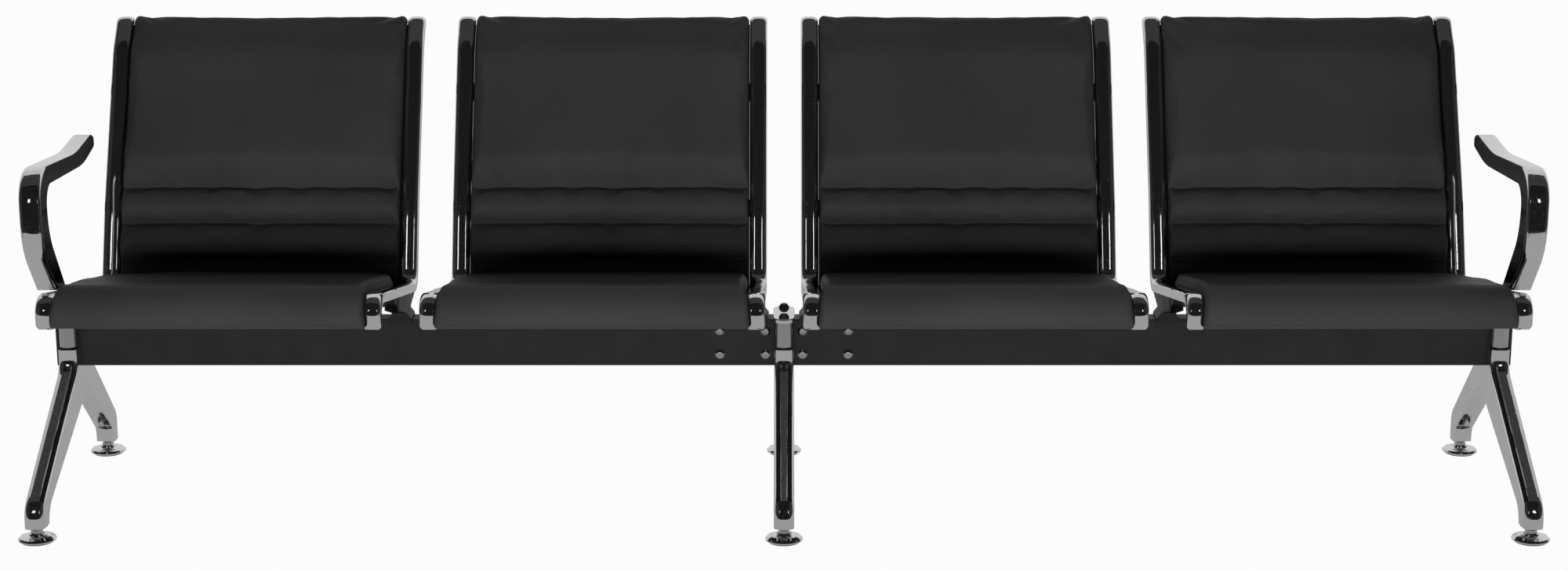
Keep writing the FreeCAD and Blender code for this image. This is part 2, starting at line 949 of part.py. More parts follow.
# Brackets on the beam, two webs up into each channel over one foot
def bracket(x):
    start = SEAT_END - bracket_reach_front
    end = BACK_START + bracket_reach_back
    high = -bracket_sink
    first = point_at(SPANS, start, high)
    last = point_at(SPANS, end, high)
    foot_top = beam_top + bracket_foot_height
    front_low = (first[0], first[1] - bracket_front_drop - frame_depth)
    sink = foot_top - bracket_foot_height / 3
    low = [
        point_at(SPANS, end, -frame_depth),
        (beam_y + bracket_rear_reach, beam_top + bracket_rear_height),
        (beam_y + bracket_foot_top, foot_top),
        (beam_y + bracket_foot_top, sink),
        (beam_y - bracket_foot_top, sink),
        (beam_y - bracket_foot_top, foot_top),
        front_low,
    ]
    slot_y = beam_y - bracket_slot_ahead
    slot_z = foot_top + bracket_slot_above
    webs = []
    for side in (-1, 1):
        edge_x = x + side * channel_half - (bracket_web if side == 1 else 0.0)
        points = [last] + low + [first]
        edges = parallel(edge_x, SPANS, start, end, high)
        edges += [line(edge_x, a, b) for a, b in zip(points, points[1:])]
        face = Part.Face(Part.Wire(Part.__sortEdges__(edges)))
        web = face.extrude(vec(bracket_web, 0, 0))
        slot = box(
            edge_x - 1,
            edge_x + bracket_web + 1,
            slot_y - bracket_slot_width / 2,
            slot_y + bracket_slot_width / 2,
            slot_z,
            slot_z + bracket_slot_height,
        )
        webs.append(web.cut(slot))
    half = bracket_foot_width / 2
    shoulder = bracket_foot_top / 2
    y0 = beam_front - bracket_lip
    reach = beam_depth + 2 * bracket_lip
    points = [
        vec(x - half, y0, beam_top),
        vec(x + half, y0, beam_top),
        vec(x + half, y0, beam_top + bracket_foot_edge),
        vec(x + shoulder, y0, foot_top),
        vec(x - shoulder, y0, foot_top),
        vec(x - half, y0, beam_top + bracket_foot_edge),
        vec(x - half, y0, beam_top),
    ]
    foot = Part.Face(Part.makePolygon(points)).extrude(vec(0, reach, 0))
    lips = [
        box(x - half, x + half, y0, beam_front, beam_top - bracket_lip_drop, beam_top),
        box(x - half, x + half, beam_back, beam_back + bracket_lip, beam_top - bracket_lip_drop, beam_top),
    ]
    body = foot.fuse(webs + lips).removeSplitter()
    cuts = []
    for side in (-1, 1):
        y = beam_y + side * bracket_bolt_offset
        radius = bracket_bolt_radius + bolt_clearance
        cuts.append(rod(radius, vec(x, y, beam_top - 1), vec(x, y, foot_top + 1)))
    return body.cut(cuts)


def bracket_bolts():
    bolts = []
    seat = beam_top + bracket_foot_height
    length = bracket_foot_height + bracket_bolt_below
    for x in frame_centres():
        for side in (-1, 1):
            start = vec(x, beam_y + side * bracket_bolt_offset, seat)
            bolts.append(
                button_bolt(
                    start,
                    vec(0, 0, 1),
                    bracket_head_radius,
                    bracket_head_height,
                    bracket_bolt_radius,
                    length,
                )
            )
    return group(bolts)


# Arms, bolted down on the top of the outermost side frames
def arm_station():
    bend_y = beam_y + bend_behind_beam
    seat_fall = math.cos(math.radians(seat_tilt))
    ahead = (bend_y - beam_y + arm_foot_ahead) / seat_fall
    return SEAT_END + SPANS[3][4] * math.tan(SPANS[3][3] / SPANS[3][4] / 2) - ahead


def arm_screw_stations():
    middle = arm_station() + arm_foot_length / 2
    return [middle - arm_screw_spacing / 2, middle + arm_screw_spacing / 2]


def arm_holes(x):
    if abs(abs(x) - row_end) > 1.0:
        return []
    radius = screw_radius + bolt_clearance
    return [rod_on_line(x, s, -frame_wall - 1, 1.0, radius) for s in arm_screw_stations()]


def arm(side):
    x = side * arm_x
    start = arm_station()
    base = point_at(SPANS, start, 0.0)
    heel = point_at(SPANS, start + arm_foot_length, 0.0)
    front = beam_y - arm_bulge
    inner = front + arm_post_depth
    rear = beam_y + arm_end_behind
    corners = [
        (*base, 0.0),
        (front, beam_top + arm_knee_above_beam, arm_knee_radius),
        (front, beam_top + arm_top_above_beam, arm_top_radius),
        (beam_y - arm_dip_ahead, beam_top + arm_dip_above_beam, arm_dip_radius),
        (rear, beam_top + arm_end_above_beam, arm_end_radius),
        (rear, beam_top + arm_end_above_beam - arm_end_thickness, arm_end_radius),
        (beam_y - arm_under_dip_ahead, beam_top + arm_under_dip_above_beam, arm_under_dip_radius),
        (inner, beam_top + arm_under_above_beam, arm_under_radius),
        (inner, beam_top + arm_inner_knee_above_beam, arm_inner_knee_radius),
        (*heel, 0.0),
    ]
    bar = outline_prism(x - arm_width / 2, arm_width, corners)
    rim = []
    for edge in bar.Edges:
        if edge.BoundBox.XLength > 0.01:
            continue
        middle = edge.valueAt((edge.FirstParameter + edge.LastParameter) / 2)
        if middle.z > base[1] + 1.0:
            rim.append(edge)
    bar = bar.makeFillet(arm_rounding, rim)
    x0, x1 = sorted((x, side * (row_end - frame_half)))
    foot = band(x0, x1 - x0, SPANS, start, start + arm_foot_length, arm_foot_thickness, 0.0)
    body = bar.fuse(foot).removeSplitter()
    radius = screw_radius + bolt_clearance
    holes = [
        rod_on_line(side * row_end, s, -1.0, arm_screw_grip + 1.0, radius)
        for s in arm_screw_stations()
    ]
    return body.cut(holes)


def arm_screws():
    result = []
    for side in (-1, 1):
        for s in arm_screw_stations():
            start = on_plane(side * row_end, point_at(SPANS, s, -frame_wall))
            result.append(pan_screw(start, normal_at(s) * -1, frame_wall + arm_screw_grip))
    return group(result)


def nodes():
    yield "beam_left", beam_half(-1)
    yield "beam_right", beam_half(1)
    yield "beam_splice", beam_splice()
    yield "splice_bolts", splice_bolts()
    yield "beam_end_caps", beam_end_caps()
    for name, x in zip(LEG_NAMES, leg_centres()):
        yield "leg_" + name, leg(x)
    yield "clamp_caps", clamp_caps()
    yield "clamp_columns", clamp_columns()
    yield "clamp_bolts", clamp_bolts()
    for x, y, name in foot_places():
        yield "foot_rubber_" + name, foot_rubber(x, y)
        yield "foot_disc_" + name, foot_disc(x, y)
        yield "foot_stud_" + name, foot_stud(x, y)
    stations = rail_stations()
    half = frame_spacing / 2
    for i, x in enumerate(seat_centres()):
        seat = "seat_" + str(i + 1) + "_"
        yield seat + "side_frame_left", side_frame(x - half)
        yield seat + "side_frame_right", side_frame(x + half)
        yield seat + "shell", shell(x)
        yield seat + "cross_rails", cross_rails(x)
        yield seat + "seat_pad", pad(x, seat_top, stations[:2])
        yield seat + "back_pad", pad(x, lambda corner: back_top(), stations[2:])
    yield "frame_brackets", group([bracket(x) for x in frame_centres()])
    yield "bracket_bolts", bracket_bolts()
    yield "frame_screws", frame_screws()
    yield "pad_screws", pad_screws()
    yield "arm_left", arm(-1)
    yield "arm_right", arm(1)
    yield "arm_screws", arm_screws()


os.makedirs("parts", exist_ok=True)
for name, shape in nodes():
    shape.exportStep("parts/" + name + ".step")
    print(name, len(shape.Solids), "solids", round(shape.Volume / 1000, 2), "cm3", shape.isValid())
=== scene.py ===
import json
import math

import bpy
import numpy as np
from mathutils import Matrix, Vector, noise

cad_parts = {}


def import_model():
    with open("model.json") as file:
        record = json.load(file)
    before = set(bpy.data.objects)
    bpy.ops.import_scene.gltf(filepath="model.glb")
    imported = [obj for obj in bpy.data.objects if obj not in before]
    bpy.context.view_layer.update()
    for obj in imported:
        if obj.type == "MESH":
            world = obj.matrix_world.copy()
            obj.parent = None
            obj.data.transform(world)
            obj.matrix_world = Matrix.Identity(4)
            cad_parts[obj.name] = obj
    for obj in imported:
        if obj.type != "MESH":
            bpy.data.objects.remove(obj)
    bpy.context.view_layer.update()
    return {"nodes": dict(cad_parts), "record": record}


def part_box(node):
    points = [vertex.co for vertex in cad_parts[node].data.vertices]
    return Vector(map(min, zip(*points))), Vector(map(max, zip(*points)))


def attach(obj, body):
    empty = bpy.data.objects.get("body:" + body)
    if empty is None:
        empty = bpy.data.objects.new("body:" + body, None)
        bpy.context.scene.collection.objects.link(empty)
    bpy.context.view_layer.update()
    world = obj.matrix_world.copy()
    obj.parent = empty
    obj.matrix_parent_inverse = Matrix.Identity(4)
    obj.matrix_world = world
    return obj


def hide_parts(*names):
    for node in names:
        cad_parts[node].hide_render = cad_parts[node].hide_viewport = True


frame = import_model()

nodes = frame["nodes"]

# Places taken from the frame, in metres
beam_low, beam_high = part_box("beam_left")
beam_y = (beam_low.y + beam_high.y) / 2
beam_top = beam_high.z
seat_x = [
    (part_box(f"seat_{n}_side_frame_left")[0].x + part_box(f"seat_{n}_side_frame_right")[1].x) / 2
    for n in range(1, 5)
]


def middle_x(name):
    low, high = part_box(name)
    return (low.x + high.x) / 2


leg_x = [middle_x("leg_" + name) for name in ("left", "middle", "right")]
leg_half = (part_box("leg_left")[1].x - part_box("leg_left")[0].x) / 2
arm_half = 0.0175
arm_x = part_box("arm_right")[1].x - arm_half

# The seat line in side view, the same walk as the solids make
bend = (beam_y + 0.091, beam_top + 0.039)
seat_tilt = 11.0
seat_length = 0.437
tip_tilt = 13.8
tip_length = 0.0566
back_lower_tilt = 20.6
back_lower_length = 0.1362
back_upper_tilt = 26.4
back_upper_length = 0.2815
curl_tilt = 42.0
curl_length = 0.0673
roll_tilt = 116.6
roll_length = 0.0157
tip_radius = 0.035
bend_radius = 0.025
back_radius = 0.6
curl_radius = 0.08
roll_radius = 0.018

# Side frames, shell and pads
frame_spacing = 0.511
frame_width = 0.03
frame_depth = 0.016
frame_wall = 0.003
frame_rounding = 0.008
frame_power = 2.8
tip_nose = 0.009
tip_sink = 0.007
tip_reach = 0.035
top_nose = 0.004
boss_half = 0.009
nose_least = 0.03
end_wall = 0.012
hollow_run = 0.01
nose_rings = 6
top_rings = 4
seat_rail_front = 0.095
seat_rail_rear = 0.24
back_rail_lower = 0.11
back_rail_upper = 0.32
shell_thickness = 0.002
shell_side_gap = 0.0003
shell_end_gap = 0.005
shell_top = shell_thickness - frame_depth
shell_half = frame_spacing / 2 - frame_width / 2 - shell_side_gap
hole_pitch = 0.017
hole_radius = 0.0055
pad_half = shell_half - 0.0005
pad_proud = 0.013
seat_crown = 0.004
rear_corner = 0.06
top_proud = 0.0035
seat_pad_reach = 0.012
back_pad_reach_down = 0.019
lower_seam = 0.019
roll_pitch = 0.062
roll_crown = 0.0085
panel_belly = 0.007
nose_flare = 0.008
seam_hold = 0.0014
cloth_frames = 16
seam_sway = 0.0016
cloth_cap = 0.006
pad_columns = 57
pad_edge = 0.012
seam_width = 0.0055
seam_drop = 0.008
valley_width = 0.019
valley_drop = 0.007
sheet_border = 0.012
hole_sides = 8
SWELLING = {}


# Plane geometry along the line
def step(point, tilt, length):
    angle = math.radians(tilt)
    return (point[0] + length * math.sin(angle), point[1] + length * math.cos(angle))


def heading(a, b):
    return math.atan2(b[1] - a[1], b[0] - a[0])


def move(point, angle, length):
    return (point[0] + length * math.cos(angle), point[1] + length * math.sin(angle))


def spans_of(corners):
    spans = []
    here = corners[0][:2]
    for i in range(1, len(corners)):
        corner = corners[i][:2]
        along = heading(here, corner)
        reach = math.dist(here, corner)
        if i == len(corners) - 1:
            spans.append(("line", here, along, reach, 0.0, 0))
            break
        turn = heading(corner, corners[i + 1][:2]) - along
        turn = math.atan2(math.sin(turn), math.cos(turn))
        radius = corners[i][2]
        tangent = radius * math.tan(abs(turn) / 2)
        side = 1 if turn > 0 else -1
        spans.append(("line", here, along, reach - tangent, 0.0, 0))
        start = move(corner, along, -tangent)
        spans.append(("arc", start, along, radius * abs(turn), radius, side))
        here = move(corner, along + turn, tangent)
    return spans


def place_on(span, s, h):
    kind, start, along, _, radius, side = span
    left = along + math.pi / 2
    if kind == "line":
        return move(move(start, along, s), left, h)
    centre = move(start, left, side * radius)
    angle = along - side * math.pi / 2 + side * s / radius
    return move(centre, angle, radius - side * h)


def seat_corners():
    front = step(bend, seat_tilt - 90.0, seat_length)
    tip = step(front, 180.0 + tip_tilt, tip_length)
    back = step(bend, back_lower_tilt, back_lower_length)
    curl = step(back, back_upper_tilt, back_upper_length)
    roll = step(curl, curl_tilt, curl_length)
    end = step(roll, roll_tilt, roll_length)
    return [
        (*tip, 0.0),
        (*front, tip_radius),
        (*bend, bend_radius),
        (*back, back_radius),
        (*curl, curl_radius),
        (*roll, roll_radius),
        (*end, 0.0),
    ]


SPANS = spans_of(seat_corners())
LENGTH = sum(span[3] for span in SPANS)
SEAT_START = SPANS[0][3] + SPANS[1][3]
SEAT_END = SEAT_START + SPANS[2][3]
BACK_START = SEAT_END + SPANS[3][3]
CURL_START = BACK_START + sum(span[3] for span in SPANS[4:7])


def at(s, h):
    for span in SPANS:
        if s <= span[3]:
            return place_on(span, s, h)
        s -= span[3]
    return place_on(SPANS[-1], SPANS[-1][3] + s, h)


# Meshes
def new_object(name, verts, faces, material, smooth=True):
    mesh = bpy.data.meshes.new(name)
    mesh.from_pydata([tuple(v) for v in verts], [], faces)
    mesh.validate()
    if smooth:
        mesh.polygons.foreach_set("use_smooth", [True] * len(mesh.polygons))
    obj = bpy.data.objects.new(name, mesh)
    bpy.context.scene.collection.objects.link(obj)
    obj.data.materials.append(material)
    return obj


# Stations packed towards the marks, where the form turns quickly
def stations(a, b, marks, coarse, fine, reach):
    found = [a]
    while found[-1] < b:
        here = found[-1]
        near = min(abs(here - m) for m in marks)
        found.append(here + (fine if near < reach else coarse))
    found[-1] = b
    return found


def quarter(distance, width, low):
    share = min(max(distance / width, 0.0), 1.0)
    return low + (1.0 - low) * math.sqrt(max(0.0, 1.0 - (1.0 - share) ** 2))


def smooth_step(x):
    x = min(max(x, 0.0), 1.0)
    return x * x * (3 - 2 * x)


# Materials
def material(name):
    made = bpy.data.materials.new(name)
    made.use_nodes = True
    tree = made.node_tree
    return made, tree, tree.nodes["Principled BSDF"]


def node(tree, kind, **values):
    made = tree.nodes.new(kind)
    for key, value in values.items():
        setattr(made, key, value)
    return made


def object_noise(tree, scale, detail=3.0, roughness=0.5, stretch=None):
    place = node(tree, "ShaderNodeTexCoord")
    source = place.outputs["Object"]
    if stretch:
        mapping = node(tree, "ShaderNodeMapping")
        mapping.inputs["Scale"].default_value = stretch
        tree.links.new(source, mapping.inputs["Vector"])
        source = mapping.outputs["Vector"]
    texture = node(tree, "ShaderNodeTexNoise")
    texture.inputs["Scale"].default_value = scale
    texture.inputs["Detail"].default_value = detail
    texture.inputs["Roughness"].default_value = roughness
    tree.links.new(source, texture.inputs["Vector"])
    return texture.outputs["Fac"]


def ramp(tree, source, low, high, start=0.3, end=0.7):
    made = node(tree, "ShaderNodeMapRange")
    made.inputs["From Min"].default_value = start
    made.inputs["From Max"].default_value = end
    made.inputs["To Min"].default_value = low
    made.inputs["To Max"].default_value = high
    tree.links.new(source, made.inputs["Value"])
    return made.outputs["Result"]


def bump(tree, source, strength, distance, normal=None):
    made = node(tree, "ShaderNodeBump")
    made.inputs["Strength"].default_value = strength
    made.inputs["Distance"].default_value = distance
    tree.links.new(source, made.inputs["Height"])
    if normal:
        tree.links.new(normal, made.inputs["Normal"])
    return made.outputs["Normal"]


def blend_colours(tree, factor, a, b):
    made = node(tree, "ShaderNodeMix", data_type="RGBA")
    made.inputs[6].default_value = (*a, 1.0)
    made.inputs[7].default_value = (*b, 1.0)
    tree.links.new(factor, made.inputs[0])
    return made.outputs[2]


# Polished castings have no flat faces: the shading turns sideways with the distance from the
# piece's middle plane, which repeats along the row, and upwards by the lift
def crowned(tree, centre, pitch, half, rise, lift):
    place = node(tree, "ShaderNodeTexCoord")
    split = node(tree, "ShaderNodeSeparateXYZ")
    tree.links.new(place.outputs["Object"], split.inputs[0])
    off = node(tree, "ShaderNodeMath", operation="WRAP")
    off.inputs[1].default_value = centre + pitch / 2
    off.inputs[2].default_value = centre - pitch / 2
    tree.links.new(split.outputs["X"], off.inputs[0])
    sideways = node(tree, "ShaderNodeMath", operation="MULTIPLY_ADD")
    sideways.inputs[1].default_value = rise / half
    sideways.inputs[2].default_value = -centre * rise / half
    tree.links.new(off.outputs[0], sideways.inputs[0])
    lean = node(tree, "ShaderNodeCombineXYZ")
    tree.links.new(sideways.outputs[0], lean.inputs["X"])
    lean.inputs["Z"].default_value = lift
    surface = node(tree, "ShaderNodeNewGeometry")
    turned = node(tree, "ShaderNodeVectorMath", operation="ADD")
    tree.links.new(surface.outputs["Normal"], turned.inputs[0])
    tree.links.new(lean.outputs[0], turned.inputs[1])
    made = node(tree, "ShaderNodeVectorMath", operation="NORMALIZE")
    tree.links.new(turned.outputs[0], made.inputs[0])
    return made.outputs[0]


def chrome(name, centre=0.0, pitch=0.0, half=0.0, rise=0.0, lift=0.0):
    made, tree, shader = material(name)
    shader.inputs["Metallic"].default_value = 1.0
    wash = object_noise(tree, 9.0)
    colour = blend_colours(tree, ramp(tree, wash, 0.0, 1.0), (0.74, 0.75, 0.76), (0.82, 0.82, 0.83))
    tree.links.new(colour, shader.inputs["Base Color"])
    smudge = object_noise(tree, 40.0, 6.0, 0.65)
    tree.links.new(ramp(tree, smudge, 0.03, 0.1), shader.inputs["Roughness"])
    wave = object_noise(tree, 26.0, 1.5)
    specks = object_noise(tree, 420.0, 2.0)
    base = crowned(tree, centre, pitch, half, rise, lift) if pitch else None
    normal = bump(tree, wave, 0.3, 0.0016, base)
    pits = ramp(tree, specks, 0.0, 1.0, 0.66, 0.72)
    tree.links.new(bump(tree, pits, 0.2, 0.0004, normal), shader.inputs["Normal"])
    return made


def satin_steel():
    made, tree, shader = material("satin_steel")
    shader.inputs["Metallic"].default_value = 1.0
    rings = object_noise(tree, 30.0, 4.0, 0.6, (1.0, 1.0, 60.0))
    colour = blend_colours(tree, ramp(tree, rings, 0.0, 1.0), (0.5, 0.5, 0.51), (0.66, 0.66, 0.67))
    tree.links.new(colour, shader.inputs["Base Color"])
    tree.links.new(ramp(tree, rings, 0.24, 0.36), shader.inputs["Roughness"])
    tree.links.new(bump(tree, rings, 0.15, 0.0002), shader.inputs["Normal"])
    return made


def zinc(name, colour, roughness):
    made, tree, shader = material(name)
    shader.inputs["Metallic"].default_value = 1.0
    grain = object_noise(tree, 300.0, 4.0)
    darker = tuple(c * 0.8 for c in colour)
    mixed = blend_colours(tree, ramp(tree, grain, 0.0, 1.0), darker, colour)
    tree.links.new(mixed, shader.inputs["Base Color"])
    tree.links.new(ramp(tree, grain, roughness * 0.8, roughness * 1.2), shader.inputs["Roughness"])
    tree.links.new(bump(tree, grain, 0.08, 0.0003), shader.inputs["Normal"])
    return made


def painted(name, dark, light, roughness, peel):
    made, tree, shader = material(name)
    cloud = object_noise(tree, 16.0, 5.0, 0.6)
    mixed = blend_colours(tree, ramp(tree, cloud, 0.0, 1.0), dark, light)
    tree.links.new(mixed, shader.inputs["Base Color"])
    grain = object_noise(tree, 900.0, 3.0)
    tree.links.new(ramp(tree, cloud, roughness * 0.85, roughness * 1.15), shader.inputs["Roughness"])
    tree.links.new(bump(tree, grain, peel, 0.0003), shader.inputs["Normal"])
    shader.inputs["Specular IOR Level"].default_value = 0.25
    return made


def leather():
    made, tree, shader = material("cover_leather")
    shade = object_noise(tree, 5.0, 4.0, 0.55)
    colour = blend_colours(tree, ramp(tree, shade, 0.0, 1.0), (0.03, 0.03, 0.031), (0.038, 0.038, 0.039))
    tree.links.new(colour, shader.inputs["Base Color"])
    grain = node(tree, "ShaderNodeTexVoronoi", feature="DISTANCE_TO_EDGE")
    grain.inputs["Scale"].default_value = 900.0
    place = node(tree, "ShaderNodeTexCoord")
    tree.links.new(place.outputs["Object"], grain.inputs["Vector"])
    creases = ramp(tree, grain.outputs["Distance"], 0.0, 1.0, 0.0, 0.25)
    fine = object_noise(tree, 1800.0, 2.0)
    normal = bump(tree, creases, 0.16, 0.0004)
    tree.links.new(bump(tree, fine, 0.08, 0.0003, normal), shader.inputs["Normal"])
    tree.links.new(ramp(tree, shade, 0.43, 0.52), shader.inputs["Roughness"])
    shader.inputs["Specular IOR Level"].default_value = 0.16
    return made


def rubber(name, colour, roughness):
    made, tree, shader = material(name)
    grain = object_noise(tree, 500.0, 4.0)
    lighter = tuple(c * 1.5 for c in colour)
    mixed = blend_colours(tree, ramp(tree, grain, 0.0, 1.0), colour, lighter)
    tree.links.new(mixed, shader.inputs["Base Color"])
    shader.inputs["Roughness"].default_value = roughness
    tree.links.new(bump(tree, grain, 0.1, 0.0003), shader.inputs["Normal"])
    return made


seat_pitch = seat_x[1] - seat_x[0]
rail_left = seat_x[0] - frame_spacing / 2
rail_right = seat_x[0] + frame_spacing / 2
MATERIALS = {
    "chrome": chrome("chrome"),
    "satin_steel": satin_steel(),
    "splice_steel": zinc("splice_steel", (0.4, 0.4, 0.41), 0.4),
    "bright_bolt": zinc("bright_bolt", (0.72, 0.72, 0.74), 0.22),
    "stud_steel": zinc("stud_steel", (0.62, 0.62, 0.64), 0.25),
    "beam_paint": painted("beam_paint", (0.012, 0.012, 0.013), (0.018, 0.018, 0.019), 0.42, 0.12),
    "shell_paint": painted("shell_paint", (0.01, 0.01, 0.011), (0.014, 0.014, 0.015), 0.45, 0.1),
    "black_bolt": painted("black_bolt", (0.008, 0.008, 0.008), (0.02, 0.02, 0.02), 0.3, 0.06),
    "cap_plastic": rubber("cap_plastic", (0.012, 0.012, 0.012), 0.5),
    "foot_rubber": rubber("foot_rubber", (0.01, 0.01, 0.01), 0.7),
    "cover": leather(),
}


CROWNED = {
    "side_frame_left": chrome("chrome_rail_left", rail_left, seat_pitch, frame_width / 2, 0.2),
    "side_frame_right": chrome("chrome_rail_right", rail_right, seat_pitch, frame_width / 2, 0.2),
    "leg_": chrome("chrome_leg", leg_x[1], leg_x[1] - leg_x[0], leg_half, 0.2),
    "arm_left": chrome("chrome_arm_left", -arm_x, 1.0, arm_half, 0.3, 0.2),
    "arm_right": chrome("chrome_arm_right", arm_x, 1.0, arm_half, 0.3, 0.2),
}


def finish_of(name, slot):
    for key, made in CROWNED.items():
        if key in name:
            return made
    return MATERIALS[slot]


def dress_nodes():
    for row in frame["record"]["subparts"]:
        obj = nodes[row["node"]]
        obj.data.materials.clear()
        obj.data.materials.append(finish_of(row["node"], row["material_slot"]))
        obj.data.polygons.foreach_set("use_smooth", [True] * len(obj.data.polygons))


# Pads. The outline is a grid over the stations of the seat line and the width; the height
# rises from the shell, and seams are pressed into it.
def seam_depth(s, seams, width, depth):
    deep = 0.0
    for seam in seams:
        away = abs(s - seam) / width
        deep = max(deep, depth * math.exp(-away * away))
    return deep


def seat_outline(d_side):
    corner = min(d_side / rear_corner, 1.0)
    cut = rear_corner * (1.0 - math.sqrt(max(0.0, 1.0 - (1.0 - corner) ** 2)))
    return 0.001, SEAT_END + seat_pad_reach - cut * 0.9


def back_outline(d_side):
    return BACK_START - back_pad_reach_down, LENGTH - 0.003


# The nose of the seat swells sideways over the tips of the frame
def seat_flare(s):
    return nose_flare * (1.0 - smooth_step(s / (SEAT_START + 0.03)))


def back_flare(s):
    return 0.0


def seat_height(s, d_side, d_front, d_rear):
    full = -shell_top + pad_proud + seat_crown * smooth_step((s - SEAT_START) / 0.12)
    share = quarter(d_side, pad_edge, 0.52) * quarter(d_front, pad_edge, 0.5) * quarter(d_rear, 0.05, 0.2)
    return full * share * (1.0 + 0.05 * smooth_step(d_side / 0.12))


def back_seams():
    first = BACK_START + lower_seam
    return [first, first + roll_pitch, first + 2 * roll_pitch]


def back_height(s, d_side, d_front, d_rear):
    seams = back_seams()
    full = -shell_top + pad_proud
    if s > seams[2]:
        belly = smooth_step((s - seams[2]) / 0.03) * (1.0 - smooth_step((s - seams[2] - 0.04) / 0.16))
        thin = smooth_step((s - CURL_START + 0.02) / (LENGTH - 0.03 - CURL_START))
        full += panel_belly * belly
        full -= (pad_proud - top_proud) * thin
    elif s > seams[0]:
        place = ((s - seams[0]) / roll_pitch) % 1.0
        full += roll_crown * math.sin(math.pi * place ** 0.75) - 0.001
    else:
        full -= 0.005
    side = quarter(d_side, pad_edge, 0.5)
    deep = seam_depth(s, seams, seam_width, seam_drop)
    valley = seam_depth(s, seams, valley_width, valley_drop)
    full = full - (deep + valley) * smooth_step(d_side / 0.01)
    return full * side * quarter(d_front, 0.02, 0.4) * quarter(d_rear, pad_edge, 0.4)


def pad_mesh(name, x, outline, height, flare, marks, seed):
    across = []
    for i in range(pad_columns):
        turn = math.pi * i / (pad_columns - 1)
        even = -1.0 + 2.0 * i / (pad_columns - 1)
        across.append(pad_half * (0.45 * even - 0.55 * math.cos(turn)))
    low, high = outline(pad_half)
    rows = stations(low, high, marks, 0.0075, 0.0025, 0.022)
    verts = []
    for s_full in rows:
        t = (s_full - low) / (high - low)
        for u in across:
            d_side = pad_half - abs(u)
            start, end = outline(d_side)
            s = start + (end - start) * t
            sway = seam_sway * noise.noise(Vector((u * 7.0, seed, s * 4.0))) * smooth_step(d_side / 0.05)
            h = height(s + sway, d_side, s - start, end - s)
            wobble = noise.noise(Vector((u * 9.0, s * 9.0, seed))) * 0.0011
            pucker = noise.noise(Vector((u * 3.0, s * 55.0, seed + 5.0))) * 0.0016
            h += (wobble + pucker * math.exp(-d_side / 0.02)) * smooth_step(h / 0.01)
            y, z = at(s, shell_top + h)
            verts.append((x + u * (1.0 + flare(s) / pad_half), y, z))
    top = len(verts)
    for s_full in rows:
        t = (s_full - low) / (high - low)
        for u in across:
            start, end = outline(pad_half - abs(u))
            inset = 0.0012
            s = start + (end - start) * t
            s = min(max(s, start + inset), end - inset)
            y, z = at(s, shell_top + 0.0002)
            verts.append((x + u * (1.0 - inset / pad_half), y, z))
    faces = []
    wide = len(across)
    for i in range(len(rows) - 1):
        for j in range(wide - 1):
            a = i * wide + j
            faces.append((a, a + 1, a + wide + 1, a + wide))
            b = a + top
            faces.append((b, b + wide, b + wide + 1, b + 1))
    border = [(0, j) for j in range(wide)]
    border += [(i, wide - 1) for i in range(1, len(rows))]
    border += [(len(rows) - 1, j) for j in range(wide - 2, -1, -1)]
    border += [(i, 0) for i in range(len(rows) - 2, 0, -1)]
    loop = [i * wide + j for i, j in border]
    for k in range(len(loop)):
        a = loop[k]
        b = loop[(k + 1) % len(loop)]
        faces.append((b, a, a + top, b + top))
    obj = new_object(name, verts, faces, MATERIALS["cover"])
    held = obj.vertex_groups.new(name="held")
    held.add(range(top, len(verts)), 1.0, "REPLACE")
    held.add(loop, 1.0, "REPLACE")
    for i, s in enumerate(rows):
        if min(abs(s - m) for m in marks) < seam_hold and marks[0] > 0.01:
            held.add(range(i * wide, (i + 1) * wide), 1.0, "REPLACE")
    return obj


# The cover is blown up from inside as cloth that is held along its border and its seams, and
# each point moves by the cap at most
def swelling(obj):
    modifier = obj.modifiers.new("cloth", "CLOTH")
    cloth = modifier.settings
    cloth.quality = 4
    cloth.mass = 0.25
    cloth.tension_stiffness = 30.0
    cloth.compression_stiffness = 12.0
    cloth.shear_stiffness = 8.0
    cloth.bending_stiffness = 0.25
    cloth.vertex_group_mass = "held"
    cloth.pin_stiffness = 1.0
    cloth.shrink_min = -0.012
    cloth.use_pressure = True
    cloth.uniform_pressure_force = 6.0
    cloth.effector_weights.gravity = 0.0
    modifier.point_cache.frame_start = 1
    modifier.point_cache.frame_end = cloth_frames
    scene = bpy.context.scene
    for frame_number in range(1, cloth_frames + 1):
        scene.frame_set(frame_number)
    solved = obj.evaluated_get(bpy.context.evaluated_depsgraph_get())
    start = points_of(obj.data)
    shift = points_of(solved.data) - start
    length = np.linalg.norm(shift, axis=1, keepdims=True)
    shift *= np.minimum(1.0, cloth_cap / np.maximum(length, 1e-9))
    obj.modifiers.remove(modifier)
    scene.frame_set(1)
    print("cloth", obj.name, "moved", round(float(length.max()) * 1000, 2), "mm at most")
    return shift


def points_of(mesh):
    found = np.empty(len(mesh.vertices) * 3)
    mesh.vertices.foreach_get("co", found)
    return found.reshape(-1, 3)


# The four pads of a kind share one simulation, turned left to right on every second seat
def blow_up(obj, kind, mirrored):
    if kind not in SWELLING:
        SWELLING[kind] = swelling(obj)
    shift = SWELLING[kind]
    if mirrored:
        shift = shift.reshape(-1, pad_columns, 3)[:, ::-1].reshape(-1, 3) * (-1.0, 1.0, 1.0)
    obj.data.vertices.foreach_set("co", (points_of(obj.data) + shift).ravel())
    obj.data.update()


